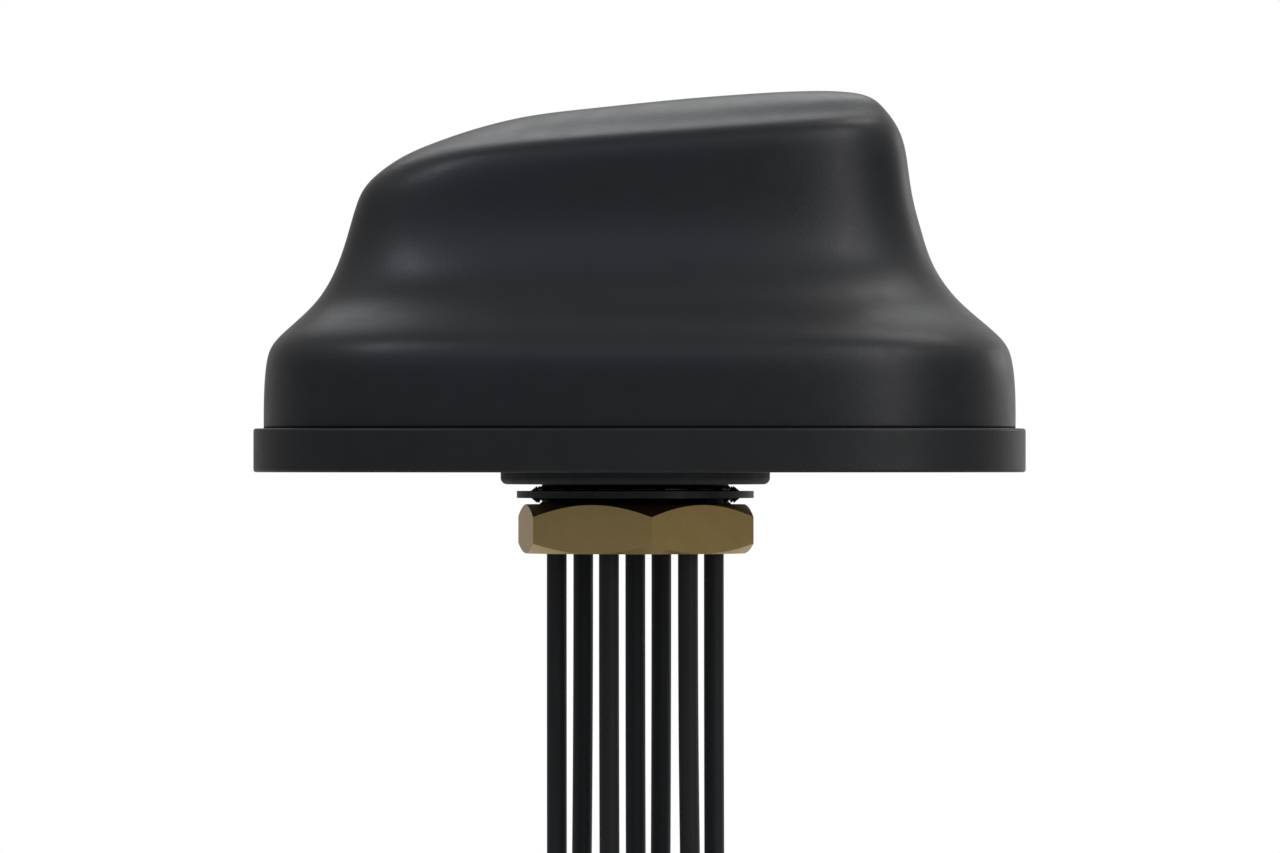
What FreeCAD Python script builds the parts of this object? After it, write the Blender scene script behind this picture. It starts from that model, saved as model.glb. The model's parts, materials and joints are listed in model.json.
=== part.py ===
import FreeCAD, Part
import math
import os

import Sketcher

# Combination antenna for a vehicle roof: a GNSS receiver antenna, four cellular and two Wi-Fi
# elements under one radome, on a hollow threaded stud that seven leads hang out of.
# Frame: millimetres, +Z up, +X towards the radome's tall end. The origin is on the stud's axis,
# in the plane of the flange's underside, where the antenna rests on a roof.

Vector = FreeCAD.Vector
Rotation = FreeCAD.Rotation

DIMENSIONS = {
    # flange and radome, in plan
    "flange_half_length": 71.6,
    "flange_half_width": 42.0,
    "flange_height": 8.1,
    "base_centre": 0.8,
    "oval_power": 2.6,
    "flange_lip": 1.9,
    "flange_round": 0.5,
    "radome_wall": 2.5,
    # tray
    "tray_floor": 3.0,
    "spigot_top": 11.0,
    "spigot_wall": 1.8,
    "spigot_gap": 0.25,
    "pillar_radius": 4.2,
    "seal_width": 1.3,
    "seal_depth": 1.2,
    # the radome's screws and the bosses they bite into
    "boss_radius": 4.0,
    "boss_height": 26.0,
    "boss_bore": 1.55,
    "boss_depth": 9.0,
    "screw_clearance": 1.65,
    "sink_radius": 3.1,
    "sink_depth": 2.2,
    # stud, and the rubber gasket round it
    "stud_radius": 18.0,
    "stud_bore": 16.6,
    "stud_drop": 14.6,
    "stud_head_radius": 21.5,
    "stud_head_height": 3.0,
    "thread_pitch": 1.5,
    "thread_depth": 0.75,
    "gasket_radius": 25.0,
    "gasket_drop": 2.25,
    "gasket_round": 1.2,
    "gasket_seat_depth": 1.0,
    "seat_gap": 0.2,
    # lock washer and nut
    "washer_radius": 22.0,
    "washer_root": 19.4,
    "washer_tip": 18.3,
    "washer_thick": 1.3,
    "tooth_thick": 0.84,
    "washer_middle": -4.13,
    "tooth_rise": 1.76,
    "nut_top": -5.95,
    "nut_height": 9.1,
    "nut_flats": 41.0,
    "nut_bore": 18.05,
    "nut_turn": -22.7,
    # leads and their plugs
    "lead_radius": 1.85,
    "lead_pitch": 4.86,
    "lead_row": 9.5,
    "lead_exit": -14.2,
    "grommet_top": -4.0,
    "plug_bore": 1.9,
    "plug_stem": 2.45,
    "plug_shoulder": 3.1,
    "plug_groove": 2.35,
    "plug_barrel": 2.75,
    "plug_cavity": 2.1,
    "plug_length": 22.0,
    "pin_radius": 0.45,
    "coupling_flats": 8.0,
    "coupling_bore": 3.2,
    "coupling_top": -14.2,
    "coupling_end": -24.0,
    # inside
    "socket_flats": 2.0,
    "plate_thick": 1.0,
    "plate_half_length": 52.0,
    "plate_half_width": 27.0,
    "clamp_radius": 21.5,
    "clamp_height": 4.0,
    "small_hole": 1.6,
    "board_thick": 1.0,
    "bracket_thick": 0.6,
    "bracket_length": 5.0,
    "patch_side": 20.0,
    "patch_thick": 4.0,
    "electrode_side": 16.0,
    "electrode_thick": 0.1,
    "can_side": 16.0,
    "can_depth": 3.0,
    "can_wall": 0.3,
    "coax_level": 20.0,
    "coax_bend": 8.0,
}

# The radome's sections, from the flange up: front end (x, z), rear end (x, z) and half width.
# Each section is an oval in a plane through its two ends, so the planes tilt towards the top.
RADOME_SECTIONS = [
    ((-68.9, 8.1), (70.5, 8.1), 40.0),
    ((-68.7, 17.1), (70.3, 17.1), 39.85),
    ((-68.4, 20.0), (69.95, 20.0), 39.55),
    ((-67.7, 22.7), (69.2, 22.7), 38.75),
    ((-64.6, 26.4), (66.1, 26.4), 35.7),
    ((-58.9, 32.0), (59.8, 32.0), 28.3),
    ((-55.2, 38.6), (55.2, 38.6), 23.1),
    ((-53.1, 45.0), (53.0, 45.0), 20.7),
    ((-51.4, 50.5), (51.2, 52.4), 19.7),
    ((-49.0, 54.2), (50.1, 59.8), 19.2),
    ((-44.2, 57.9), (48.5, 64.3), 18.1),
    ((-41.4, 59.4), (47.6, 65.7), 16.7),
    ((-38.1, 60.8), (46.6, 67.0), 14.3),
    ((-30.7, 63.4), (44.1, 69.3), 10.0),
    ((-22.3, 65.6), (39.9, 70.5), 6.5),
    ((-11.2, 67.2), (30.6, 70.7), 4.0),
    ((0.9, 68.5), (19.4, 70.1), 1.8),
]

# The inner surface is rounder under the ridge: it leaves this section out.
RIDGE_SECTION = 11

# The lock washer's inner teeth, and the share of the ring's inside they take.
TEETH = 18
TOOTH_SHARE = 0.74

# Rings cut into the stud for its thread.
THREAD_RINGS = 10

# Each lead's row across the stud's bore: in the middle, behind or in front.
LEAD_ROWS = [0, 1, -1, 0, 1, -1, 0]

# One lead's route below its exit: how far down, the sway in x and y, and how far the bundle spreads.
LEAD_ROUTE = [
    (0, 0, 0, 0),
    (52, 0, 0, 0),
    (106, 1.0, -0.8, 0.06),
    (160, 0.2, -1.8, 0.17),
    (214, -1.6, -1.0, 0.27),
    (262, -1.2, 0.6, 0.33),
    (300, -1.2, 0.6, 0.33),
]

# How much of that sway each lead takes.
LEAD_SWAY = [1.0, -0.6, 0.8, 0.4, -0.9, 1.2, -0.5]

RADOME_SCREWS = [(-60.0, 0.0), (61.0, 0.0), (-38.0, 27.0), (-38.0, -27.0), (38.0, 27.0), (38.0, -27.0)]
PLATE_SCREWS = [(-38.0, 17.0), (-38.0, -17.0), (0.0, 24.6), (0.0, -24.6), (34.0, 18.0), (34.0, -18.0)]
CLAMP_SCREW_REACH = 19.1
CLAMP_SCREWS = [
    (CLAMP_SCREW_REACH * math.cos(math.radians(turn)), CLAMP_SCREW_REACH * math.sin(math.radians(turn)))
    for turn in (90, 210, 330)
]

# Socket screws: head radius, head height, shaft radius and length.
RADOME_SCREW = ("2.9", "1.7", "1.5", "12")
PLATE_SCREW = ("2.6", "1.6", "1.5", "5.4")
CLAMP_SCREW = ("2.4", "1.5", "1.25", "7.6")

# The middle of the patch antenna, and its feed pin's place.
PATCH_MIDDLE = (-39.0, 0.0)
FEED_PLACE = (-39.0, 1.5)

# Each cellular board: its ends in x, its middle y, its top, and its brackets' x.
CELLULAR_BOARDS = [
    (21, 40, 9.5, 53, (25, 36)),
    (21, 40, -9.5, 53, (25, 36)),
    (-34, -4, 22, 27, (-30, -18)),
    (-34, -4, -22, 27, (-30, -18)),
]

doc = FreeCAD.newDocument("antenna")
sheet = doc.addObject("Spreadsheet::Sheet", "dims")
for row, (word, value) in enumerate(DIMENSIONS.items(), start=1):
    sheet.set(f"A{row}", word)
    sheet.set(f"B{row}", str(value))
    sheet.setAlias(f"B{row}", word)
doc.recompute()

NODES = []


def size(text):
    """The value of an expression in the sheet's words, in millimetres."""
    return float(sheet.evalExpression(text))


def bound(text):
    """The same expression as an object of the document has to write it."""
    for word in sorted(DIMENSIONS, key=len, reverse=True):
        text = text.replace(word, "<<" + word + ">>")
    return text.replace("<<", "dims.").replace(">>", "")


def node(label, feature):
    """Makes a feature one of the parts that are written."""
    feature.Label = label
    NODES.append(feature)
    return feature


def shaped(label, shape):
    feature = doc.addObject("Part::Feature", label)
    feature.Shape = shape
    return feature


def at(feature, x=0.0, y=0.0, z=0.0, turn=0.0):
    feature.Placement = FreeCAD.Placement(Vector(x, y, z), Rotation(Vector(0, 0, 1), turn))
    return feature


def cylinder(label, radius, height, x=0.0, y=0.0, z="0"):
    """A cylinder whose radius, height and lowest z are expressions."""
    feature = doc.addObject("Part::Cylinder", label)
    feature.setExpression("Radius", bound(radius))
    feature.setExpression("Height", bound(height))
    at(feature, x, y)
    feature.setExpression(".Placement.Base.z", bound(z))
    return feature


def box(label, length, width, height, x, y, z):
    """A box whose sizes and lowest corner are expressions."""
    feature = doc.addObject("Part::Box", label)
    for name, text in (("Length", length), ("Width", width), ("Height", height)):
        feature.setExpression(name, bound(text))
    for name, text in (("x", x), ("y", y), ("z", z)):
        feature.setExpression(".Placement.Base." + name, bound(text))
    return feature


def joined(label, pieces):
    feature = doc.addObject("Part::MultiFuse", label)
    feature.Shapes = pieces
    return feature


def cut(label, base, tools):
    """The base without its tools."""
    feature = doc.addObject("Part::Cut", label)
    feature.Base = base
    feature.Tool = tools[0] if len(tools) == 1 else joined(label + "_tools", tools)
    return feature


def group(label, pieces):
    """Separate solids in one node."""
    feature = doc.addObject("Part::Compound", label)
    feature.Links = pieces
    return feature


def outline(body, corners):
    """A closed sketch on the body's XZ plane through corners (radius, height), tied to the sheet."""
    sketch = body.newObject("Sketcher::SketchObject", body.Name + "_outline")
    plane = [item for item in body.Origin.OriginFeatures if item.Role == "XZ_Plane"][0]
    sketch.AttachmentSupport = [(plane, "")]
    sketch.MapMode = "FlatFace"
    points = [Vector(size(across), size(up), 0) for across, up in corners]
    count = len(points)
    for index in range(count):
        sketch.addGeometry(Part.LineSegment(points[index], points[(index + 1) % count]))
    for index in range(count):
        sketch.addConstraint(Sketcher.Constraint("Coincident", index, 2, (index + 1) % count, 1))
    for index, corner in enumerate(corners):
        for kind, text in zip(("DistanceX", "DistanceY"), corner):
            number = sketch.addConstraint(Sketcher.Constraint(kind, -1, 1, index, 1, size(text)))
            sketch.setExpression(f"Constraints[{number}]", bound(text))
    return sketch


def turned(label, corners):
    """A body of revolution about Z."""
    body = doc.addObject("PartDesign::Body", label)
    sketch = outline(body, corners)
    revolution = body.newObject("PartDesign::Revolution", label + "_turned")
    revolution.Profile = sketch
    revolution.ReferenceAxis = (sketch, ["V_Axis"])
    revolution.Angle = 360
    return body


def oval(front, rear, half_width):
    """A superellipse through two ends (x, z) in the plane y = 0, as a closed wire."""
    middle = Vector((front[0] + rear[0]) / 2, 0, (front[1] + rear[1]) / 2)
    half = Vector((rear[0] - front[0]) / 2, 0, (rear[1] - front[1]) / 2)
    power = 2 / size("oval_power")
    points = []
    for step in range(48):
        turn = 2 * math.pi * step / 48
        along = math.copysign(abs(math.cos(turn)) ** power, math.cos(turn))
        across = math.copysign(abs(math.sin(turn)) ** power, math.sin(turn))
        points.append(middle + half * along + Vector(0, half_width * across, 0))
    curve = Part.BSplineCurve()
    curve.interpolate(Points=points, PeriodicFlag=True)
    return Part.Wire([curve.toShape()])


def oval_slab(inset, low, high, half_length="flange_half_length", half_width="flange_half_width"):
    """A flat oval plate, its outline drawn in from the flange's by an inset."""
    centre = size("base_centre")
    reach = size(half_length) - inset
    wire = oval((centre - reach, low), (centre + reach, low), size(half_width) - inset)
    return Part.Face(wire).extrude(Vector(0, 0, high - low))


def drawn_in(points, wall):
    """Points (x, z) of an open line, each moved by the wall to the right of the way it runs."""
    moved = []
    for index, point in enumerate(points):
        before = points[max(index - 1, 0)]
        after = points[min(index + 1, len(points) - 1)]
        along = Vector(after[0] - before[0], after[1] - before[1], 0).normalize()
        moved.append((point[0] + wall * along.y, point[1] - wall * along.x))
    return moved


def tube_along(points, radius):
    """A round tube of straight runs joined by tangent arcs, and the arcs' radii.

    Each arc takes 0.45 of the shorter of its two runs.
    """
    edges = []
    radii = []
    start = points[0]
    for before, corner, after in zip(points, points[1:], points[2:]):
        into = (corner - before).normalize()
        out = (after - corner).normalize()
        turn = into.getAngle(out)
        reach = 0.45 * min((corner - before).Length, (after - corner).Length)
        bend = reach / math.tan(turn / 2)
        radii.append(bend)
        inner = (out - into).normalize()
        first = corner - into * reach
        last = corner + out * reach
        middle = corner + inner * (bend / math.cos(turn / 2) - bend)
        edges.append(Part.LineSegment(start, first).toShape())
        edges.append(Part.Arc(first, middle, last).toShape())
        start = last
    edges.append(Part.LineSegment(start, points[-1]).toShape())
    path = Part.Wire(edges)
    ring = Part.Wire([Part.Circle(points[0], points[1] - points[0], radius).toShape()])
    tube = path.makePipeShell([ring], True, False)
    expected = math.pi * radius ** 2 * path.Length
    if abs(tube.Volume - expected) > 0.01 * expected:
        raise SystemExit("a tube's volume is not its section times its length")
    return tube, path.Length, radii


def lead_place(number):
    """Where a lead crosses the stud's bore."""
    return (number - 3) * size("lead_pitch"), LEAD_ROWS[number] * size("lead_row")


def lead_points(number):
    x, y = lead_place(number)
    exit_level = size("lead_exit")
    sway = LEAD_SWAY[number]
    return [
        Vector(x * (1 + spread) + sway * side, y * (1 + spread) + sway * forth, exit_level - drop)
        for drop, side, forth, spread in LEAD_ROUTE
    ]


def round_head_screw(label, head_radius, head_height, shaft_radius, length):
    """A socket screw with a low round head. Its head's underside is at z = 0, its shaft points down."""
    socket = hexagon(label + "_socket", "socket_flats", head_height)
    at(socket, z=float(head_height) / 3)
    blank = turned(label + "_blank", [
        ("0", f"-{length}"),
        (shaft_radius, f"-{length}"),
        (shaft_radius, "0"),
        (head_radius, "0"),
        (head_radius, f"0.6 * {head_height}"),
        (f"0.8 * {head_radius}", head_height),
        ("0", head_height),
    ])
    return cut(label, blank, [socket])


def dome(sections):
    """A solid through ovals: straight walls between the lowest two, then one smooth surface.

    Straight strips between the highest three close it.
    """
    ovals = [oval(*section) for section in sections]
    walls = Part.makeLoft(ovals[:2], True, True)
    flanks = Part.makeLoft(ovals[1:-2], True, False)
    crown = Part.makeLoft(ovals[-3:], True, True)
    return walls.fuse(flanks).fuse(crown)


def make_radome():
    wall = size("radome_wall")
    fronts = [front for front, rear, width in RADOME_SECTIONS]
    rears = [rear for front, rear, width in RADOME_SECTIONS]
    widths = [width for front, rear, width in RADOME_SECTIONS]
    levels = [(front[1] + rear[1]) / 2 for front, rear, width in RADOME_SECTIONS]
    outer = dome(RADOME_SECTIONS)
    inner_fronts = drawn_in(fronts, wall)
    inner_rears = drawn_in(rears, -wall)
    inner_widths = [width for width, level in drawn_in(list(zip(widths, levels)), -wall)]
    inner_sections = list(zip(inner_fronts, inner_rears, inner_widths))
    inner = dome(inner_sections[:RIDGE_SECTION] + inner_sections[RIDGE_SECTION + 1:-1])
    shell = outer.cut(inner)
    for x, y in RADOME_SCREWS:
        foot = Vector(x, y, size("flange_height"))
        boss = Part.makeCylinder(size("boss_radius"), size("boss_height"), foot)
        shell = shell.fuse(boss.common(outer))
        shell = shell.cut(Part.makeCylinder(size("boss_bore"), size("boss_depth"), foot))
    return shell.removeSplitter()


def make_tray():
    height = size("flange_height")
    inner = size("flange_lip") + size("radome_wall") + size("spigot_gap")
    seat = size("flange_lip") + (size("radome_wall") - size("seal_width")) / 2
    flange_slab = oval_slab(0, 0, height)
    rims = [edge for edge in flange_slab.Edges if edge.BoundBox.ZLength < 0.01]
    flange = shaped("tray_flange", flange_slab.makeFillet(size("flange_round"), rims))
    spigot = shaped("tray_spigot", oval_slab(inner, size("tray_floor"), size("spigot_top")))
    pocket = oval_slab(inner + size("spigot_wall"), size("tray_floor"), size("spigot_top") + 1)
    groove_outer = oval_slab(seat, height - size("seal_depth"), height + 1)
    groove_inner = oval_slab(seat + size("seal_width"), height - size("seal_depth"), height + 1)
    rim = cut("tray_rim", joined("tray_blank", [flange, spigot]), [
        shaped("tray_pocket", pocket),
        shaped("tray_groove", groove_outer.cut(groove_inner)),
    ])
    pillars = []
    for x, y in RADOME_SCREWS:
        pillars.append(cylinder("radome_pillar", "pillar_radius", "flange_height - 1", x, y, "1"))
    for x, y in PLATE_SCREWS:
        pillars.append(cylinder("plate_pillar", "3", "tray_floor + stud_head_height - 1", x, y, "1"))
    holes = [
        cylinder("stud_hole", "stud_radius + 0.1", "tray_floor + 2", z="-1"),
        cylinder("gasket_seat", "gasket_radius + seat_gap", "gasket_seat_depth + 1", z="-1"),
    ]
    for x, y in RADOME_SCREWS:
        holes.append(cylinder("screw_hole", "screw_clearance", "flange_height + 1", x, y))
        holes.append(cylinder("screw_sink", "sink_radius", "sink_depth + 1", x, y, "-1"))
    for x, y in PLATE_SCREWS:
        holes.append(cylinder("plate_hole", "boss_bore", "tray_floor + stud_head_height", x, y, "1.2"))
    return cut("tray", joined("tray_solid", [rim] + pillars), holes)


def make_seal():
    height = size("flange_height")
    seat = size("flange_lip") + (size("radome_wall") - size("seal_width")) / 2
    outer = oval_slab(seat + 0.1, height - size("seal_depth"), height)
    inner = oval_slab(seat + size("seal_width") - 0.1, height - size("seal_depth"), height)
    return shaped("seal_ring", outer.cut(inner))


def make_stud():
    """The hollow stud, with its thread cut as rings a pitch apart, and the clamp screws' holes."""
    body = turned("stud_blank", [
        ("stud_bore", "-stud_drop"),
        ("stud_radius - thread_depth", "-stud_drop"),
        ("stud_radius", "-stud_drop + thread_depth"),
        ("stud_radius", "tray_floor"),
        ("stud_head_radius", "tray_floor"),
        ("stud_head_radius", "tray_floor + stud_head_height"),
        ("stud_bore", "tray_floor + stud_head_height"),
    ])
    doc.recompute()
    whole = body.Shape.Volume
    low = "-stud_drop + thread_depth + 0.2"
    ring = outline(body, [
        ("stud_radius - thread_depth", f"{low} + thread_pitch / 2"),
        ("stud_radius + 0.1", f"{low}"),
        ("stud_radius + 0.1", f"{low} + thread_pitch"),
    ])
    groove = body.newObject("PartDesign::Groove", "thread_ring")
    groove.Profile = ring
    groove.ReferenceAxis = (ring, ["V_Axis"])
    groove.Angle = 360
    doc.recompute()
    rings = body.newObject("PartDesign::LinearPattern", "thread")
    rings.Originals = [groove]
    axis = [item for item in body.Origin.OriginFeatures if item.Role == "Z_Axis"][0]
    rings.Direction = (axis, [""])
    rings.Occurrences = THREAD_RINGS
    rings.setExpression("Length", bound(f"{THREAD_RINGS - 1} * thread_pitch"))
    body.Tip = rings
    doc.recompute()
    if body.Shape.Volume > whole - 100:
        raise SystemExit("the stud's thread was not cut")
    holes = [cylinder("clamp_hole", "1.3", "6", x, y, "tray_floor - 1") for x, y in CLAMP_SCREWS]
    return cut("stud", body, holes)


def make_gasket():
    body = turned("gasket", [
        ("stud_radius + seat_gap", "-gasket_drop"),
        ("gasket_radius", "-gasket_drop"),
        ("gasket_radius", "gasket_seat_depth"),
        ("stud_radius + seat_gap", "gasket_seat_depth"),
    ])
    doc.recompute()
    low = -size("gasket_drop")
    edges = [
        f"Edge{index}" for index, edge in enumerate(body.Shape.Edges, start=1)
        if abs(edge.BoundBox.ZMin - low) < 0.01 and abs(edge.BoundBox.ZMax - low) < 0.01
        and edge.BoundBox.XMax > size("gasket_radius") - 0.1
    ]
    ring = body.Tip
    rounding = body.newObject("PartDesign::Fillet", "gasket_rounding")
    rounding.Base = (ring, edges)
    rounding.setExpression("Radius", bound("gasket_round"))
    body.Tip = rounding
    return body


def tooth_section(radius, chord, lean):
    """A washer tooth's cross-section at a radius on the x axis, leaning about that axis."""
    rise = size("tooth_thick") / 2
    corners = [Vector(radius, y, z) for y, z in (
        (-chord / 2, -rise),
        (chord / 2, -rise),
        (chord / 2, rise),
        (-chord / 2, rise),
    )]
    wire = Part.makePolygon(corners + corners[:1])
    wire.rotate(Vector(), Vector(1, 0, 0), lean)
    return wire


def make_washer():
    """A flat ring with inner teeth, each twisting from the ring inwards so its edges bite."""
    ring = Part.makeCylinder(size("washer_radius"), size("washer_thick"))
    ring = ring.cut(Part.makeCylinder(size("washer_root"), size("washer_thick")))
    ring.translate(Vector(0, 0, -size("washer_thick") / 2))
    chord = 2 * math.pi * size("washer_root") / TEETH * TOOTH_SHARE
    lean = math.degrees(math.asin((2 * size("tooth_rise") - size("tooth_thick")) / chord))
    root = tooth_section(size("washer_root") + 0.3, chord, 0)
    tip = tooth_section(size("washer_tip") - 0.2, chord, lean)
    bore = Part.makeCylinder(size("washer_tip"), 10, Vector(0, 0, -5))
    tooth = Part.makeLoft([root, tip], True, True).cut(bore)
    washer = ring
    for number in range(TEETH):
        turned_tooth = tooth.copy()
        turned_tooth.rotate(Vector(), Vector(0, 0, 1), 360 / TEETH * number)
        washer = washer.fuse(turned_tooth)
    feature = shaped("washer", washer.removeSplitter())
    feature.setExpression(".Placement.Base.z", bound("washer_middle"))
    return feature


def hexagon(label, flats, height):
    """A six-sided bar from z = 0 up, with two of its corners on the x axis."""
    prism = doc.addObject("Part::Prism", label)
    prism.Polygon = 6
    prism.setExpression("Circumradius", bound(f"{flats} / 2 / cos(30 deg)"))
    prism.setExpression("Height", bound(height))
    return prism


def make_nut():
    """The hex nut: a hexagon within a chamfered blank, bored to run on the stud's thread."""
    corner = "nut_flats / 2 / cos(30 deg) + 0.01"
    flat = "nut_flats / 2 * 0.995"
    blank = turned("nut_blank", [
        ("nut_bore + 0.6", "0"),
        (flat, "0"),
        (corner, f"({corner} - {flat}) * tan(30 deg)"),
        (corner, f"nut_height - ({corner} - {flat}) * tan(35 deg)"),
        (flat, "nut_height"),
        ("nut_bore + 0.6", "nut_height"),
        ("nut_bore", "nut_height - 0.6"),
        ("nut_bore", "0.6"),
    ])
    nut = doc.addObject("Part::MultiCommon", "nut")
    nut.Shapes = [hexagon("nut_hexagon", "nut_flats", "nut_height"), blank]
    at(nut, turn=size("nut_turn"))
    nut.setExpression(".Placement.Base.z", bound("nut_top - nut_height"))
    return nut


def make_grommet():
    plug = cylinder("grommet_plug", "stud_bore - 0.05", "grommet_top - lead_exit", z="lead_exit")
    holes = []
    depth = "grommet_top - lead_exit + 2"
    for number in range(7):
        x, y = lead_place(number)
        holes.append(cylinder("grommet_hole", "lead_radius", depth, x, y, "lead_exit - 1"))
    return cut("grommet", plug, holes)


def make_lead(number):
    tube, length, radii = tube_along(lead_points(number), size("lead_radius"))
    print(f"lead {number + 1}: {length:.1f} mm, radii", [round(radius) for radius in radii])
    return shaped(f"lead_tube_{number + 1}", tube)


def make_plug(number):
    """One plug hangs with its top at z = 0: its parts are built there and placed by the caller."""
    corner = "coupling_flats / 2 / cos(30 deg)"
    body = turned(f"plug_shape_{number}", [
        ("plug_bore", "0"),
        ("plug_stem", "0"),
        ("plug_stem", "-8"),
        ("plug_shoulder", "-8"),
        ("plug_shoulder", "coupling_top + 0.2"),
        ("plug_groove", "coupling_top + 0.2"),
        ("plug_groove", "coupling_top - 0.8"),
        ("plug_barrel", "coupling_top - 0.8"),
        ("plug_barrel", "-plug_length"),
        ("plug_cavity", "-plug_length"),
        ("plug_cavity", "coupling_top - 1.3"),
        ("pin_radius + 0.1", "coupling_top - 1.3"),
        ("pin_radius + 0.1", "-6"),
        ("plug_bore", "-6"),
    ])
    nut_blank = turned(f"coupling_blank_{number}", [
        ("plug_groove + 0.1", "coupling_top"),
        ("coupling_flats / 2", "coupling_top"),
        (corner, "coupling_top - 0.4"),
        (corner, "coupling_end + 0.4"),
        ("coupling_flats / 2", "coupling_end"),
        ("coupling_bore + 0.15", "coupling_end"),
        ("coupling_bore", "coupling_end + 0.2"),
        ("coupling_bore", "coupling_top - 0.7"),
        ("plug_groove + 0.1", "coupling_top - 0.7"),
    ])
    bar = hexagon(f"coupling_bar_{number}", "coupling_flats", "coupling_top - coupling_end")
    at(bar, z=size("coupling_end"))
    nut = doc.addObject("Part::MultiCommon", f"coupling_{number}")
    nut.Shapes = [bar, nut_blank]
    insulator = turned(f"insulator_shape_{number}", [
        ("pin_radius + 0.05", "coupling_top - 1.4"),
        ("plug_cavity - 0.05", "coupling_top - 1.4"),
        ("plug_cavity - 0.05", "-plug_length"),
        ("pin_radius + 0.05", "-plug_length"),
    ])
    pin = turned(f"pin_shape_{number}", [
        ("0", "-6.2"),
        ("pin_radius", "-6.2"),
        ("pin_radius", "-23.1"),
        ("0.2", "-23.7"),
        ("0", "-23.7"),
    ])
    sleeve = turned(f"sleeve_shape_{number}", [
        ("plug_bore", "10"),
        ("2.4", "10"),
        ("2.5", "1.6"),
        ("2.95", "0"),
        ("2.95", "-6.5"),
        ("2.5", "-6.5"),
        ("2.5", "0.2"),
        ("plug_bore", "0.8"),
    ])
    return body, nut, insulator, pin, sleeve


def make_board(label, x_low, x_high, y_middle, z_low, z_high):
    """An upright circuit board along x."""
    return box(label, f"{x_high} - ({x_low})", "board_thick", f"{z_high} - ({z_low})",
               f"{x_low}", f"{y_middle} - board_thick / 2", f"{z_low}")


def make_bracket(x, y_face, side, floor):
    """An angle bracket: one leg up a board's face, one on the ground plate."""
    start = f"{x} - bracket_length / 2"
    upright_y = y_face if side > 0 else y_face + " - bracket_thick"
    foot_y = y_face if side > 0 else y_face + " - 4"
    upright = box("bracket_upright", "bracket_length", "bracket_thick", "8", start, upright_y, floor)
    foot = box("bracket_foot", "bracket_length", "4", "bracket_thick", start, foot_y, floor)
    return joined("bracket", [upright, foot])


def coax(number, target, bend=True):
    """A lead's inner end: up through stud, grommet and clamp, then over to its board."""
    x, y = lead_place(number)
    level = size("coax_level")
    radius = size("lead_radius") - 0.05
    low = Vector(x, y, size("lead_exit"))
    if not bend:
        height = target - size("lead_exit")
        return shaped(f"coax_{number}", Part.makeCylinder(radius, height, low))
    aim = Vector(target[0], target[1], level)
    top = Vector(x, y, level)
    out = (aim - top).normalize()
    reach = size("coax_bend")
    first = top - Vector(0, 0, reach)
    last = top + out * reach
    middle = top + (out - Vector(0, 0, 1)) * reach * (1 - math.sqrt(0.5))
    path = Part.Wire([
        Part.LineSegment(low, first).toShape(),
        Part.Arc(first, middle, last).toShape(),
        Part.LineSegment(last, aim).toShape(),
    ])
    ring = Part.Wire([Part.Circle(low, Vector(0, 0, 1), radius).toShape()])
    return shaped(f"coax_{number}", path.makePipeShell([ring], True, False))


# ---- outside ----
node("radome", shaped("radome_shell", make_radome()))
node("base_tray", make_tray())
node("perimeter_seal", make_seal())
node("mounting_stud", make_stud())
node("stud_gasket", make_gasket())
node("lock_washer", make_washer())
node("hex_nut", make_nut())
node("cable_grommet", make_grommet())

radome_screws = []
for x, y in RADOME_SCREWS:
    screw = round_head_screw("radome_screw", *RADOME_SCREW)
    screw.Placement = FreeCAD.Placement(Vector(x, y, size("sink_depth")), Rotation(Vector(1, 0, 0), 180))
    radome_screws.append(screw)
node("radome_screws", group("radome_screw_group", radome_screws))

# ---- ground plate and lead clamp, on the tray's pillars and the stud's head ----
PLATE_LOW = "(tray_floor + stud_head_height)"
PLATE_TOP = "(tray_floor + stud_head_height + plate_thick)"
plate_shape = oval_slab(0, size(PLATE_LOW), size(PLATE_TOP), "plate_half_length", "plate_half_width")
below_plate = PLATE_LOW + " - 1"
plate_holes = [cylinder("plate_bore", "stud_bore", "plate_thick + 2", z=below_plate)]
for x, y in PLATE_SCREWS + CLAMP_SCREWS:
    plate_holes.append(cylinder("plate_screw_hole", "small_hole", "plate_thick + 2", x, y, below_plate))
node("ground_plate", cut("plate", shaped("plate_blank", plate_shape), plate_holes))

plate_screws = []
for x, y in PLATE_SCREWS:
    screw = round_head_screw("plate_screw", *PLATE_SCREW)
    plate_screws.append(at(screw, x, y, size(PLATE_TOP)))
node("ground_plate_screws", group("plate_screw_group", plate_screws))

CLAMP_TOP = PLATE_TOP + " + clamp_height"
clamp_disc = cylinder("clamp_disc", "clamp_radius", "clamp_height", z=PLATE_TOP)
holders = []
for x in ("-9", "5"):
    holders.append(box("clamp_holder", "4", "5", "8", x, "-2.5", CLAMP_TOP + " - 1"))
clamp_holes = []
below_clamp = PLATE_TOP + " - 1"
for number in range(7):
    x, y = lead_place(number)
    clamp_holes.append(cylinder("clamp_lead_hole", "lead_radius", "clamp_height + 2", x, y, below_clamp))
for x, y in CLAMP_SCREWS:
    clamp_holes.append(cylinder("clamp_screw_hole", "small_hole", "clamp_height + 2", x, y, below_clamp))
slot_y = "-board_thick / 2 - 0.03"
clamp_holes.append(box("slot", "18.4", "board_thick + 0.06", "10", "-9.2", slot_y, CLAMP_TOP + " + 3"))
node("lead_clamp", cut("clamp", joined("clamp_blank", [clamp_disc] + holders), clamp_holes))

clamp_screws = []
for x, y in CLAMP_SCREWS:
    screw = round_head_screw("clamp_screw", *CLAMP_SCREW)
    clamp_screws.append(at(screw, x, y, size(CLAMP_TOP)))
node("clamp_screws", group("clamp_screw_group", clamp_screws))

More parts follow.
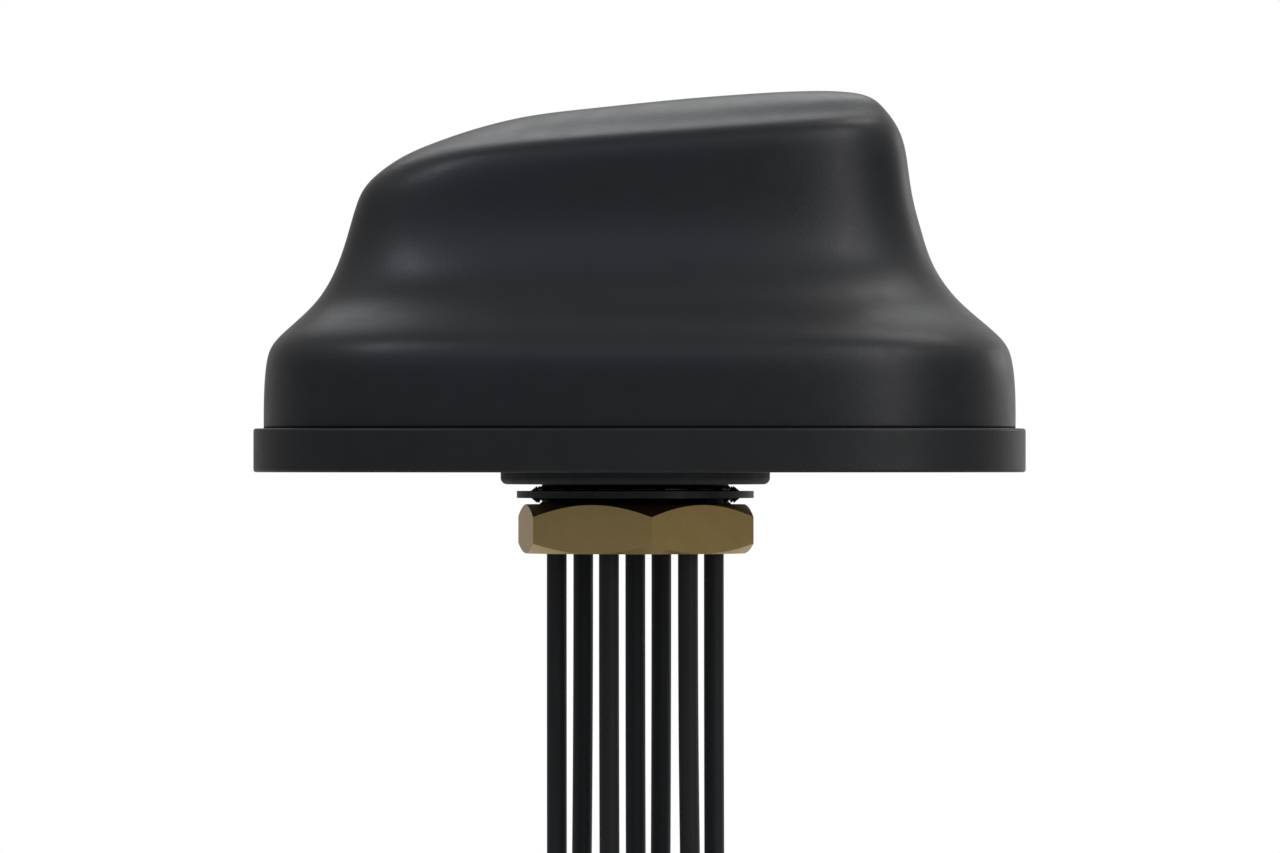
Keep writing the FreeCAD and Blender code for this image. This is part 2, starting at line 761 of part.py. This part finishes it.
# ---- GNSS antenna, low under the front slope ----
BOARD_LOW = "(coax_level - 0.6)"
BOARD_TOP = "(coax_level + 0.6)"
node("gnss_board", box("gnss_board_blank", "26", "26", "1.2", "-52", "-13", BOARD_LOW))


def patch_block(label, side, height, low):
    """A square block in the middle of the patch, with the feed pin's hole through it."""
    corner = [f"{middle} - {side} / 2" for middle in PATCH_MIDDLE]
    block = box(label + "_block", side, side, height, *corner, low)
    hole = cylinder(label + "_hole", "pin_radius + 0.15", height, *FEED_PLACE, low)
    return cut(label, block, [hole])


node("gnss_patch", patch_block("patch", "patch_side", "patch_thick", BOARD_TOP))
PATCH_TOP = BOARD_TOP + " + patch_thick"
node("gnss_patch_electrode", patch_block("electrode", "electrode_side", "electrode_thick", PATCH_TOP))
feed_length = "patch_thick + 0.4"
node("gnss_feed_pin", cylinder("feed_pin", "pin_radius + 0.05", feed_length, *FEED_PLACE, BOARD_TOP))
can_low = BOARD_LOW + " - can_depth"
can = box("can_block", "can_side", "can_side", "can_depth", "-47", "-8", can_low)
inner_side = "can_side - 2 * can_wall"
inner_corner = ["-47 + can_wall", "-8 + can_wall", can_low + " + can_wall"]
hollow = box("can_hollow", inner_side, inner_side, "can_depth", *inner_corner)
node("gnss_shield_can", cut("can", can, [hollow]))
standoffs = []
for x in (-50, -29):
    for y in (-10.5, 10.5):
        standoffs.append(cylinder("gnss_standoff", "2.2", BOARD_LOW + " - " + PLATE_TOP, x, y, PLATE_TOP))
node("gnss_standoffs", group("gnss_standoff_group", standoffs))

# ---- upright element boards: cellular at the tall end and both sides, Wi-Fi in the middle ----
cellular_brackets = []
for number, (x_low, x_high, y, z_high, bracket_places) in enumerate(CELLULAR_BOARDS, start=1):
    node(f"cellular_board_{number}", make_board(f"cellular_{number}", x_low, x_high, y, PLATE_TOP, z_high))
    outward = 1 if y > 0 else -1
    side = outward if abs(y) < 15 else -outward
    for x in bracket_places:
        cellular_brackets.append(make_bracket(x, f"{y} + {side} * board_thick / 2", side, PLATE_TOP))
node("cellular_brackets", group("cellular_bracket_group", cellular_brackets))

node("wifi_board_1", make_board("wifi_1", -9, 9, 0, CLAMP_TOP + " + 3", 46))
node("wifi_board_2", make_board("wifi_2", 24, 44, 0, PLATE_TOP, 39))
wifi_brackets = []
for x, side in ((28, 1), (40, -1)):
    wifi_brackets.append(make_bracket(x, f"{side} * board_thick / 2", side, PLATE_TOP))
node("wifi_brackets", group("wifi_bracket_group", wifi_brackets))

# ---- inner ends of the leads, one to each board ----
X = [lead_place(number)[0] for number in range(7)]
Y = [lead_place(number)[1] for number in range(7)]
node("gnss_inner_coax", group("gnss_coax", [coax(0, (-26, Y[0]))]))
node("cellular_inner_coax", group("cellular_coax", [
    coax(1, (X[1], 21.5)),
    coax(2, (X[2], -21.5)),
    coax(4, (21, Y[4])),
    coax(5, (21, Y[5])),
]))
node("wifi_inner_coax", group("wifi_coax", [
    coax(3, size(CLAMP_TOP + " + 3"), False),
    coax(6, (24, Y[6])),
]))

# ---- leads and plugs ----
insulators = []
pins = []
sleeves = []
for number in range(7):
    node(f"lead_{number + 1}", make_lead(number))
    end = lead_points(number)[-1]
    body, nut, insulator, pin, sleeve = make_plug(number + 1)
    for piece in (body, nut, insulator, pin, sleeve):
        at(piece, end.x, end.y, end.z)
    node(f"plug_body_{number + 1}", body)
    node(f"coupling_nut_{number + 1}", nut)
    insulators.append(insulator)
    pins.append(pin)
    sleeves.append(sleeve)
node("plug_insulators", group("insulator_group", insulators))
node("plug_pins", group("pin_group", pins))
node("plug_sleeves", group("sleeve_group", sleeves))

doc.recompute()

for feature in doc.Objects:
    if "Invalid" in feature.State or "Error" in feature.State:
        raise SystemExit(f"{feature.Label} failed: {feature.State}")
os.makedirs("parts", exist_ok=True)
for feature in NODES:
    shape = feature.Shape
    if shape.isNull() or not shape.isValid() or not shape.Solids:
        raise SystemExit(f"{feature.Label} has no valid shape")
    shape.exportStep(f"parts/{feature.Label}.step")
    print(feature.Label, len(shape.Solids), "solids,", round(shape.Volume), "mm3,", shape.BoundBox)
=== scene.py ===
import json
import math

import bmesh
import bpy
import numpy as np
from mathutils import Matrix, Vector


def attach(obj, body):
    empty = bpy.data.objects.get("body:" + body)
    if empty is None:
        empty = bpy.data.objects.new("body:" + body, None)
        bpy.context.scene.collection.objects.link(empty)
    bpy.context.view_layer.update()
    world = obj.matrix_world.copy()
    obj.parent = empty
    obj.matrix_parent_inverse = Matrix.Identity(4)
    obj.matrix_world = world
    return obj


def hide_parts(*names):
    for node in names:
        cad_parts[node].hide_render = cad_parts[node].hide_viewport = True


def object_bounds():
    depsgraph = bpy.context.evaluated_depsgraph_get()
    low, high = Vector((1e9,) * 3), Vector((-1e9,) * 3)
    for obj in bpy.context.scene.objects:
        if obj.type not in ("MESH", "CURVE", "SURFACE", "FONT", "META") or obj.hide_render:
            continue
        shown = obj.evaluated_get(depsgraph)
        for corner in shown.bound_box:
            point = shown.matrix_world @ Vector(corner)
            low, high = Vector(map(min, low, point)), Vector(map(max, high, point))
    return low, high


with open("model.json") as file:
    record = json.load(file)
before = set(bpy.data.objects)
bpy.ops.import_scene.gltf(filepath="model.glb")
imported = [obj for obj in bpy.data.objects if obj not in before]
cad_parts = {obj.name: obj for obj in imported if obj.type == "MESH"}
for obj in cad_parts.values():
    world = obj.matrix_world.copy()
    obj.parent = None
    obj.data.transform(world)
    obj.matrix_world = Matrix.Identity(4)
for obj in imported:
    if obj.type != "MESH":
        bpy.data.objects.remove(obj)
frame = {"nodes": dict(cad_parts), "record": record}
cad_low, cad_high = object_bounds()

MM = 0.001
TURN = 2 * math.pi
# Added to a length before something is divided by it, so that a length of nothing does no harm.
NO_LENGTH = 1e-12
nodes = frame["nodes"]

# The leads, with the CAD part's own sizes: how many, then radius, spacing, rows' distance, exit and length.
LEADS = 7
LEAD_RADIUS = 1.85 * MM
LEAD_PITCH = 4.86 * MM
LEAD_ROW = 9.5 * MM
LEAD_EXIT = -14.2 * MM

# For each lead: the row it leaves from (back, middle or front) and its share of the sway.
LEAD_ROWS = [0, 1, -1, 0, 1, -1, 0]
LEAD_SWAY = [1.0, -0.6, 0.8, 0.4, -0.9, 1.2, -0.5]

# A lead's route below its exit, in millimetres: how far down, sway in x and y, and share of spread.
LEAD_ROUTE = [
    (0, 0, 0, 0),
    (52, 0, 0, 0),
    (106, 1.0, -0.8, 0.06),
    (160, 0.2, -1.8, 0.17),
    (214, -1.6, -1.0, 0.27),
    (262, -1.2, 0.6, 0.33),
    (300, -1.2, 0.6, 0.33),
]

# The radome's oval sections in millimetres, from the flange up: x and z of the low end, x and z of the tall
# end, half width. The last one closes the crown.
RADOME_SECTIONS = [
    (-68.9, 8.1, 70.5, 8.1, 40.0),
    (-68.7, 17.1, 70.3, 17.1, 39.85),
    (-68.4, 20.0, 69.95, 20.0, 39.55),
    (-67.7, 22.7, 69.2, 22.7, 38.75),
    (-64.6, 26.4, 66.1, 26.4, 35.7),
    (-58.9, 32.0, 59.8, 32.0, 28.3),
    (-55.2, 38.6, 55.2, 38.6, 23.1),
    (-53.1, 45.0, 53.0, 45.0, 20.7),
    (-51.4, 50.5, 51.2, 52.4, 19.7),
    (-49.0, 54.2, 50.1, 59.8, 19.2),
    (-44.2, 57.9, 48.5, 64.3, 18.1),
    (-41.4, 59.4, 47.6, 65.7, 16.7),
    (-38.1, 60.8, 46.6, 67.0, 14.3),
    (-30.7, 63.4, 44.1, 69.3, 10.0),
    (-22.3, 65.6, 39.9, 70.5, 6.5),
    (-11.2, 67.2, 30.6, 70.7, 4.0),
    (0.9, 68.5, 19.4, 70.1, 1.8),
    (9.4, 69.35, 11.2, 69.5, 0.15),
]
OVAL_POWER = 2.6
RADOME_WALL = 2.5 * MM

# The radome's mesh: rows up it and points round each row. Its inner surface has fewer rows and stops
# short of the crown's tip, where one flat face closes it.
RADOME_ROWS = 200
RADOME_AROUND = 320
INNER_ROW_STEP = 3
INNER_ROWS_LEFT_OUT = 14

# The camera: its distance, how much of the object's plane it sees from side to side, where it looks, how
# far under that it stands, and its sensor's width in millimetres.
CAMERA_DISTANCE = 1.7
CAMERA_WIDTH_SEEN = 0.2376
CAMERA_TARGET = Vector((0.00087, 0, 0.00848))
CAMERA_DROP = 0.006
SENSOR_WIDTH = 36

# The floor: how far under the part, half its side, the distances from its middle over which it thins out,
# and how clear it is in the middle already.
FLOOR_GAP = 0.02
FLOOR_REACH = 3
FLOOR_THIN_FROM = 0.3
FLOOR_THIN_TO = 1.6
FLOOR_CLEAR_MIDDLE = 0.45

# What the lights are aimed at, and their colours.
CROWN_AIM = (0, 0, 0.05)
BODY_AIM = (0, 0, 0.03)
COOL = (0.86, 0.93, 1.0)
PALE = (0.97, 0.99, 1.0)
CREAM = (1.0, 0.98, 0.96)
WARM = (1.0, 0.97, 0.95)


# ---------------------------------------------------------------- camera and leads

def add_camera():
    """A level side view from far off with a long lens, looking along +Y."""
    data = bpy.data.cameras.new("camera")
    data.sensor_width = SENSOR_WIDTH
    data.lens = SENSOR_WIDTH * CAMERA_DISTANCE / CAMERA_WIDTH_SEEN
    camera = bpy.data.objects.new("camera", data)
    bpy.context.scene.collection.objects.link(camera)
    camera.location = CAMERA_TARGET + Vector((0, -CAMERA_DISTANCE, -CAMERA_DROP))
    camera.rotation_mode = "QUATERNION"
    camera.rotation_quaternion = (CAMERA_TARGET - camera.location).to_track_quat("-Z", "Y")
    bpy.context.scene.camera = camera


def lead_points(number):
    """The route of one lead, the same points as the CAD tube's."""
    middle = (LEADS - 1) // 2
    x = (number - middle) * LEAD_PITCH
    y = LEAD_ROWS[number] * LEAD_ROW
    sway = LEAD_SWAY[number] * MM
    return [
        Vector((x * (1 + spread) + sway * side, y * (1 + spread) + sway * forth, LEAD_EXIT - drop * MM))
        for drop, side, forth, spread in LEAD_ROUTE
    ]


def add_lead(number):
    """One lead as a free cord that rides on the antenna in place of the CAD lead."""
    curve = bpy.data.curves.new(f"coax_lead_{number + 1}", "CURVE")
    curve.dimensions = "3D"
    spline = curve.splines.new("NURBS")
    points = lead_points(number)
    spline.points.add(len(points) - 1)
    for point, place in zip(spline.points, points):
        point.co = (*place, 1)
        point.radius = LEAD_RADIUS
    spline.order_u = 3
    spline.use_endpoint_u = True
    spline.resolution_u = 24
    # Each point's radius is multiplied by this depth, so the cord has the lead's own radius.
    curve.bevel_depth = 1
    curve.bevel_resolution = 7
    curve.use_fill_caps = True
    lead = bpy.data.objects.new(f"coax_lead_{number + 1}", curve)
    bpy.context.scene.collection.objects.link(lead)
    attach(lead, "antenna")
    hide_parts(f"lead_{number + 1}")
    with_pieces = [nodes[f"plug_body_{number + 1}"], nodes[f"coupling_nut_{number + 1}"]]
    if number == 0:
        with_pieces += [nodes["plug_insulators"], nodes["plug_pins"], nodes["plug_sleeves"]]
    return lead


add_camera()
leads = [add_lead(number) for number in range(LEADS)]


# ---------------------------------------------------------------- materials

class Recipe:
    """A node material on a Principled shader, with short calls for what the finishes share."""

    def __init__(self, name, colour, roughness, metallic=0.0, specular=0.5):
        self.material = bpy.data.materials.new(name)
        self.material.use_nodes = True
        self.tree = self.material.node_tree
        self.shader = self.tree.nodes["Principled BSDF"]
        self.shader.inputs["Base Color"].default_value = (*colour, 1)
        self.shader.inputs["Roughness"].default_value = roughness
        self.shader.inputs["Metallic"].default_value = metallic
        self.shader.inputs["Specular IOR Level"].default_value = specular
        self.colour = colour
        self.roughness = roughness
        self.place = self.tree.nodes.new("ShaderNodeTexCoord").outputs["Object"]
        self.bumped = None

    def link(self, output, socket):
        self.tree.links.new(output, socket)

    def noise(self, scale, detail=4.0, stretch=None):
        """Noise with features about 1/scale metres across, in the part's own place."""
        node = self.tree.nodes.new("ShaderNodeTexNoise")
        node.inputs["Scale"].default_value = scale
        node.inputs["Detail"].default_value = detail
        place = self.place
        if stretch:
            mapping = self.tree.nodes.new("ShaderNodeMapping")
            mapping.inputs["Scale"].default_value = stretch
            self.link(place, mapping.inputs["Vector"])
            place = mapping.outputs["Vector"]
        self.link(place, node.inputs["Vector"])
        return node.outputs["Fac"]

    def ramp(self, factor, low, high, start=0.3, end=0.7):
        """A value from low to high as the factor goes from start to end."""
        node = self.tree.nodes.new("ShaderNodeMapRange")
        node.inputs["From Min"].default_value = start
        node.inputs["From Max"].default_value = end
        node.inputs["To Min"].default_value = low
        node.inputs["To Max"].default_value = high
        self.link(factor, node.inputs["Value"])
        return node.outputs["Result"]

    def vary_colour(self, factor, other):
        """Mixes the base colour with another by a factor."""
        node = self.tree.nodes.new("ShaderNodeMix")
        node.data_type = "RGBA"
        node.inputs["A"].default_value = (*self.colour, 1)
        node.inputs["B"].default_value = (*other, 1)
        self.link(factor, node.inputs["Factor"])
        self.link(node.outputs["Result"], self.shader.inputs["Base Color"])

    def vary_roughness(self, factor, spread):
        """Moves the roughness by up to the spread either way."""
        low = self.roughness - spread
        high = self.roughness + spread
        self.link(self.ramp(factor, low, high), self.shader.inputs["Roughness"])

    def bump(self, height, depth, strength):
        """Adds relief, depth metres deep, on top of what is there already."""
        node = self.tree.nodes.new("ShaderNodeBump")
        node.inputs["Strength"].default_value = strength
        node.inputs["Distance"].default_value = depth
        self.link(height, node.inputs["Height"])
        if self.bumped:
            self.link(self.bumped, node.inputs["Normal"])
        self.bumped = node.outputs["Normal"]
        self.link(self.bumped, self.shader.inputs["Normal"])


def moulded_plastic(name, colour, lighter, roughness, grain=1400):
    """Matt plastic with a fine grain in two sizes."""
    recipe = Recipe(name, colour, roughness, specular=0.42)
    recipe.vary_colour(recipe.ramp(recipe.noise(90), 0, 1), lighter)
    recipe.vary_roughness(recipe.noise(260), 0.03)
    recipe.bump(recipe.noise(grain, 3), 0.06 * MM, 0.35)
    recipe.bump(recipe.noise(grain * 3, 2), 0.03 * MM, 0.25)
    return recipe.material


def rubber(name, colour, lighter, roughness=0.62):
    """Dull rubber, a little uneven."""
    recipe = Recipe(name, colour, roughness, specular=0.35)
    recipe.vary_colour(recipe.ramp(recipe.noise(300), 0, 1), lighter)
    recipe.vary_roughness(recipe.noise(500), 0.06)
    recipe.bump(recipe.noise(2600, 3), 0.08 * MM, 0.5)
    return recipe.material


def jacket(name, colour, lighter):
    """Extruded cable jacket: fine lines along it, dulled in patches."""
    recipe = Recipe(name, colour, 0.50, specular=0.32)
    recipe.vary_colour(recipe.ramp(recipe.noise(120, stretch=(4, 4, 0.4)), 0, 1), lighter)
    recipe.vary_roughness(recipe.noise(200, stretch=(3, 3, 0.3)), 0.05)
    recipe.bump(recipe.noise(1500, 3, (3, 3, 0.15)), 0.04 * MM, 0.4)
    return recipe.material


def metal(name, colour, lighter, roughness, stretch=(1, 1, 12)):
    """Machined or plated metal with fine tool lines."""
    recipe = Recipe(name, colour, roughness, metallic=1.0)
    recipe.vary_colour(recipe.ramp(recipe.noise(240), 0, 1), lighter)
    recipe.vary_roughness(recipe.noise(700, stretch=stretch), 0.05)
    recipe.bump(recipe.noise(1500, 3, stretch), 0.03 * MM, 0.25)
    return recipe.material


# Each material slot's kind, name, colour and lighter colour, then its roughness, and its grain or the way
# its tool lines run where they aren't the usual ones.
FINISHES = [
    (moulded_plastic, "radome_plastic", (0.0112, 0.012, 0.0138), (0.0132, 0.014, 0.0158), 0.36),
    (moulded_plastic, "tray_plastic", (0.0085, 0.0089, 0.0095), (0.0110, 0.0114, 0.0120), 0.42),
    (rubber, "seal_rubber", (0.03, 0.03, 0.03), (0.04, 0.04, 0.04)),
    (metal, "stud_metal", (0.05, 0.05, 0.05), (0.08, 0.08, 0.078), 0.38),
    (rubber, "gasket_rubber", (0.010, 0.010, 0.010), (0.015, 0.015, 0.015)),
    (metal, "washer_metal", (0.030, 0.031, 0.031), (0.045, 0.046, 0.045), 0.45),
    (metal, "nut_brass", (0.52, 0.355, 0.135), (0.56, 0.385, 0.152), 0.36),
    (rubber, "grommet_rubber", (0.012, 0.012, 0.012), (0.02, 0.02, 0.02)),
    (metal, "screw_steel", (0.45, 0.45, 0.44), (0.55, 0.55, 0.54), 0.30),
    (jacket, "lead_jacket", (0.0095, 0.010, 0.010), (0.013, 0.0135, 0.0135)),
    (metal, "plug_brass", (0.72, 0.53, 0.23), (0.80, 0.62, 0.30), 0.26),
    (metal, "plug_nickel", (0.60, 0.58, 0.54), (0.68, 0.66, 0.62), 0.24),
    (moulded_plastic, "plug_ptfe", (0.75, 0.75, 0.72), (0.80, 0.80, 0.78), 0.45),
    (metal, "plug_gold", (0.80, 0.58, 0.22), (0.86, 0.66, 0.30), 0.20),
    (rubber, "sleeve_plastic", (0.012, 0.012, 0.012), (0.018, 0.018, 0.018), 0.5),
    (metal, "plate_aluminium", (0.70, 0.71, 0.72), (0.76, 0.77, 0.78), 0.35, (12, 1, 1)),
    (moulded_plastic, "clamp_plastic", (0.62, 0.60, 0.54), (0.66, 0.64, 0.58), 0.5),
    (moulded_plastic, "circuit_board", (0.015, 0.11, 0.04), (0.02, 0.14, 0.05), 0.3, 900),
    (moulded_plastic, "patch_ceramic", (0.45, 0.37, 0.27), (0.52, 0.44, 0.33), 0.6, 900),
    (metal, "silver_foil", (0.78, 0.77, 0.74), (0.84, 0.83, 0.80), 0.25),
    (metal, "tinned_steel", (0.60, 0.60, 0.59), (0.68, 0.68, 0.67), 0.28),
    (metal, "standoff_brass", (0.60, 0.45, 0.18), (0.68, 0.52, 0.24), 0.3),
]
MATERIALS = {name: make(name, *look) for make, name, *look in FINISHES}


def dress(obj, slot_name):
    """Gives an object the material of a slot."""
    obj.data.materials.clear()
    obj.data.materials.append(MATERIALS[slot_name])


for part in frame["record"]["subparts"]:
    dress(nodes[part["node"]], part["material_slot"])
for lead in leads:
    dress(lead, "lead_jacket")


# ---------------------------------------------------------------- mesh helpers

def add_mesh_piece(name, points, faces, body, slot_name, replaced):
    """A smooth-shaded piece that rides on a body in place of a CAD node."""
    mesh = bpy.data.meshes.new(name)
    mesh.from_pydata([tuple(point) for point in points], [], faces)
    mesh.validate()
    piece = bpy.data.objects.new(name, mesh)
    bpy.context.scene.collection.objects.link(piece)
    work = bmesh.new()
    work.from_mesh(mesh)
    bmesh.ops.recalc_face_normals(work, faces=work.faces)
    work.to_mesh(mesh)
    work.free()
    for face in mesh.polygons:
        face.use_smooth = True
    dress(piece, slot_name)
    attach(piece, body)
    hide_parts(replaced)


def ring_faces(rings, around):
    """Quads between rings of points that were listed one ring after another."""
    faces = []
    for ring in range(rings - 1):
        low = ring * around
        high = low + around
        for step in range(around):
            after = (step + 1) % around
            faces.append((low + step, low + after, high + after, high + step))
    return faces


def smooth_line(stops, values, at):
    """A natural cubic spline through values at stops, read at other places along it."""
    stops = np.asarray(stops, float)
    values = np.asarray(values, float)
    count = len(stops)
    gaps = np.diff(stops)
    matrix = np.eye(count)
    right = np.zeros(count)
    for i in range(1, count - 1):
        matrix[i, i - 1:i + 2] = gaps[i - 1], 2 * (gaps[i - 1] + gaps[i]), gaps[i]
        right[i] = 6 * ((values[i + 1] - values[i]) / gaps[i] - (values[i] - values[i - 1]) / gaps[i - 1])
    curve = np.linalg.solve(matrix, right)
    index = np.clip(np.searchsorted(stops, at, side="right") - 1, 0, count - 2)
    gap = gaps[index]
    after = (at - stops[index]) / gap
    before = 1 - after
    bend = (before ** 3 - before) * curve[index] + (after ** 3 - after) * curve[index + 1]
    return before * values[index] + after * values[index + 1] + bend * gap ** 2 / 6


# ---------------------------------------------------------------- radome

def radome_surface(rows, around):
    """Points of the radome's outer surface, as an array of rows, points round and x, y, z."""
    table = np.array(RADOME_SECTIONS) * MM
    moves = np.diff(table, axis=0)
    steps = np.hypot(moves[:, 0], moves[:, 1]) + np.hypot(moves[:, 2], moves[:, 3])
    stops = np.concatenate([[0], np.cumsum(steps)])
    at = np.linspace(0, stops[-1], rows)
    low_x, low_z, tall_x, tall_z, half_width = (smooth_line(stops, column, at) for column in table.T)
    turn = np.arange(around) * TURN / around
    power = 2 / OVAL_POWER
    along = np.sign(np.cos(turn)) * np.abs(np.cos(turn)) ** power
    across = np.sign(np.sin(turn)) * np.abs(np.sin(turn)) ** power
    surface = np.empty((rows, around, 3))
    surface[:, :, 0] = ((low_x + tall_x) / 2)[:, None] + ((tall_x - low_x) / 2)[:, None] * along
    surface[:, :, 1] = half_width[:, None] * across
    surface[:, :, 2] = ((low_z + tall_z) / 2)[:, None] + ((tall_z - low_z) / 2)[:, None] * along
    return surface


def add_radome():
    """The shell: its outer surface, its inner one a wall's thickness in, and the rim that joins them."""
    outer = radome_surface(RADOME_ROWS, RADOME_AROUND)
    round_next = np.roll(outer, -1, axis=1) - np.roll(outer, 1, axis=1)
    up = np.gradient(outer, axis=0)
    normal = np.cross(round_next, up)
    normal /= np.linalg.norm(normal, axis=2, keepdims=True) + NO_LENGTH
    inner = outer - normal * RADOME_WALL
    rim_level = outer[0, 0, 2]
    inner[:, :, 2] = np.maximum(inner[:, :, 2], rim_level)
    inner[0, :, 2] = rim_level
    inner = inner[:RADOME_ROWS - INNER_ROWS_LEFT_OUT:INNER_ROW_STEP]
    stacked = np.concatenate([inner[::-1], outer])
    rings = len(stacked)
    points = stacked.reshape(-1, 3)
    faces = ring_faces(rings, RADOME_AROUND)
    faces.append(tuple(range(RADOME_AROUND)))
    faces.append(tuple((rings - 1) * RADOME_AROUND + step for step in range(RADOME_AROUND)))
    add_mesh_piece("radome_shell", points, faces, "antenna", "radome_plastic", "radome")


add_radome()


# ---------------------------------------------------------------- stage, light and world

def add_floor():
    """A pale floor that thins out into the white round it, so no horizon shows."""
    corners = [(x * FLOOR_REACH, y * FLOOR_REACH, 0) for x, y in ((-1, -1), (1, -1), (1, 1), (-1, 1))]
    mesh = bpy.data.meshes.new("floor")
    mesh.from_pydata(corners, [], [(0, 1, 2, 3)])
    floor = bpy.data.objects.new("floor", mesh)
    floor.location.z = cad_low.z - FLOOR_GAP
    bpy.context.scene.collection.objects.link(floor)
    recipe = Recipe("floor_paint", (0.80, 0.80, 0.80), 0.7)
    recipe.vary_colour(recipe.ramp(recipe.noise(3), 0, 1), (0.82, 0.82, 0.82))
    reach = recipe.tree.nodes.new("ShaderNodeVectorMath")
    reach.operation = "LENGTH"
    clear = recipe.tree.nodes.new("ShaderNodeBsdfTransparent")
    blend = recipe.tree.nodes.new("ShaderNodeMixShader")
    recipe.link(recipe.place, reach.inputs[0])
    thinned = recipe.ramp(reach.outputs["Value"], FLOOR_CLEAR_MIDDLE, 1.0, FLOOR_THIN_FROM, FLOOR_THIN_TO)
    thinned.node.interpolation_type = "SMOOTHSTEP"
    recipe.link(thinned, blend.inputs["Fac"])
    recipe.link(recipe.shader.outputs["BSDF"], blend.inputs[1])
    recipe.link(clear.outputs["BSDF"], blend.inputs[2])
    recipe.link(blend.outputs["Shader"], recipe.tree.nodes["Material Output"].inputs["Surface"])
    mesh.materials.append(recipe.material)


def add_light(name, place, target, width, height, power, colour=(1, 1, 1)):
    """A rectangular light that the camera doesn't see, turned from its place towards a target."""
    data = bpy.data.lights.new(name, "AREA")
    data.shape = "RECTANGLE"
    data.size = width
    data.size_y = height
    data.energy = power
    data.color = colour
    light = bpy.data.objects.new(name, data)
    bpy.context.scene.collection.objects.link(light)
    light.location = place
    light.rotation_mode = "QUATERNION"
    light.rotation_quaternion = (Vector(target) - Vector(place)).to_track_quat("-Z", "Y")
    light.visible_camera = False


def add_world():
    """White behind the object. What lights it is dim and cool in front, brighter and warmer at the back."""
    world = bpy.data.worlds.new("studio")
    bpy.context.scene.world = world
    world.use_nodes = True
    tree = world.node_tree
    tree.nodes.clear()
    ways = tree.nodes.new("ShaderNodeTexCoord")
    split = tree.nodes.new("ShaderNodeSeparateXYZ")
    tree.links.new(ways.outputs["Generated"], split.inputs["Vector"])

    def eased(way, start, end, low, high):
        """From low to high as the way goes from start to end; each may be a number or an output."""
        node = tree.nodes.new("ShaderNodeMapRange")
        node.interpolation_type = "SMOOTHSTEP"
        for name, value in (("From Min", start), ("From Max", end), ("To Min", low), ("To Max", high)):
            if isinstance(value, bpy.types.NodeSocket):
                tree.links.new(value, node.inputs[name])
            else:
                node.inputs[name].default_value = value
        tree.links.new(split.outputs[way], node.inputs["Value"])
        return node.outputs["Result"]

    # In front the light grows with height, behind it grows from left to right. Then come the zenith, what
    # lies under the horizon, and the dark straight below.
    front = eased("Z", 0.10, 0.70, 0.17, 0.70)
    back = eased("X", -0.7, 0.5, 0.30, 0.72)
    level = eased("Y", -0.2, 0.8, front, back)
    level = eased("Z", 0.72, 0.94, level, 0.38)
    level = eased("Z", -0.30, -0.02, 0.55, level)
    level = eased("Z", -0.75, -0.40, 0.18, level)
    tint = tree.nodes.new("ShaderNodeMix")
    tint.data_type = "RGBA"
    tint.inputs["A"].default_value = (0.90, 0.97, 1.07, 1)
    tint.inputs["B"].default_value = (1.0, 0.99, 0.98, 1)
    tree.links.new(eased("Y", -0.6, 0.3, 0, 1), tint.inputs["Factor"])
    lit = tree.nodes.new("ShaderNodeBackground")
    tree.links.new(tint.outputs["Result"], lit.inputs["Color"])
    tree.links.new(level, lit.inputs["Strength"])
    seen = tree.nodes.new("ShaderNodeBackground")
    seen.inputs["Color"].default_value = (1, 1, 1, 1)
    rays = tree.nodes.new("ShaderNodeLightPath")
    mix = tree.nodes.new("ShaderNodeMixShader")
    output = tree.nodes.new("ShaderNodeOutputWorld")
    tree.links.new(rays.outputs["Is Camera Ray"], mix.inputs["Fac"])
    tree.links.new(lit.outputs["Background"], mix.inputs[1])
    tree.links.new(seen.outputs["Background"], mix.inputs[2])
    tree.links.new(mix.outputs["Shader"], output.inputs["Surface"])


add_floor()
add_light("rim", (-0.06, 0.96, 1.06), CROWN_AIM, 1.25, 0.55, 3.9, PALE)
add_light("crown", (0.24, 0.82, 1.16), CROWN_AIM, 0.35, 0.3, 0.95, PALE)
add_light("left", (-1.08, -0.66, 1.38), BODY_AIM, 0.34, 0.6, 3.0, COOL)
add_light("left_back", (-0.5, 0.6, 1.3), BODY_AIM, 0.4, 0.4, 0.4, COOL)
add_light("right", (0.92, -0.98, 0.45), BODY_AIM, 0.30, 1.3, 2.8, WARM)
add_light("right_high", (0.95, -0.75, 1.05), BODY_AIM, 0.30, 0.6, 1.4, WARM)
add_light("side", (0.65, 0.2, 1.2), BODY_AIM, 0.4, 0.5, 2.4, CREAM)
add_light("edge", (1.05, 0.9, 0.30), BODY_AIM, 0.5, 0.35, 0.6)
add_world()
bpy.context.scene.view_settings.view_transform = "Standard"
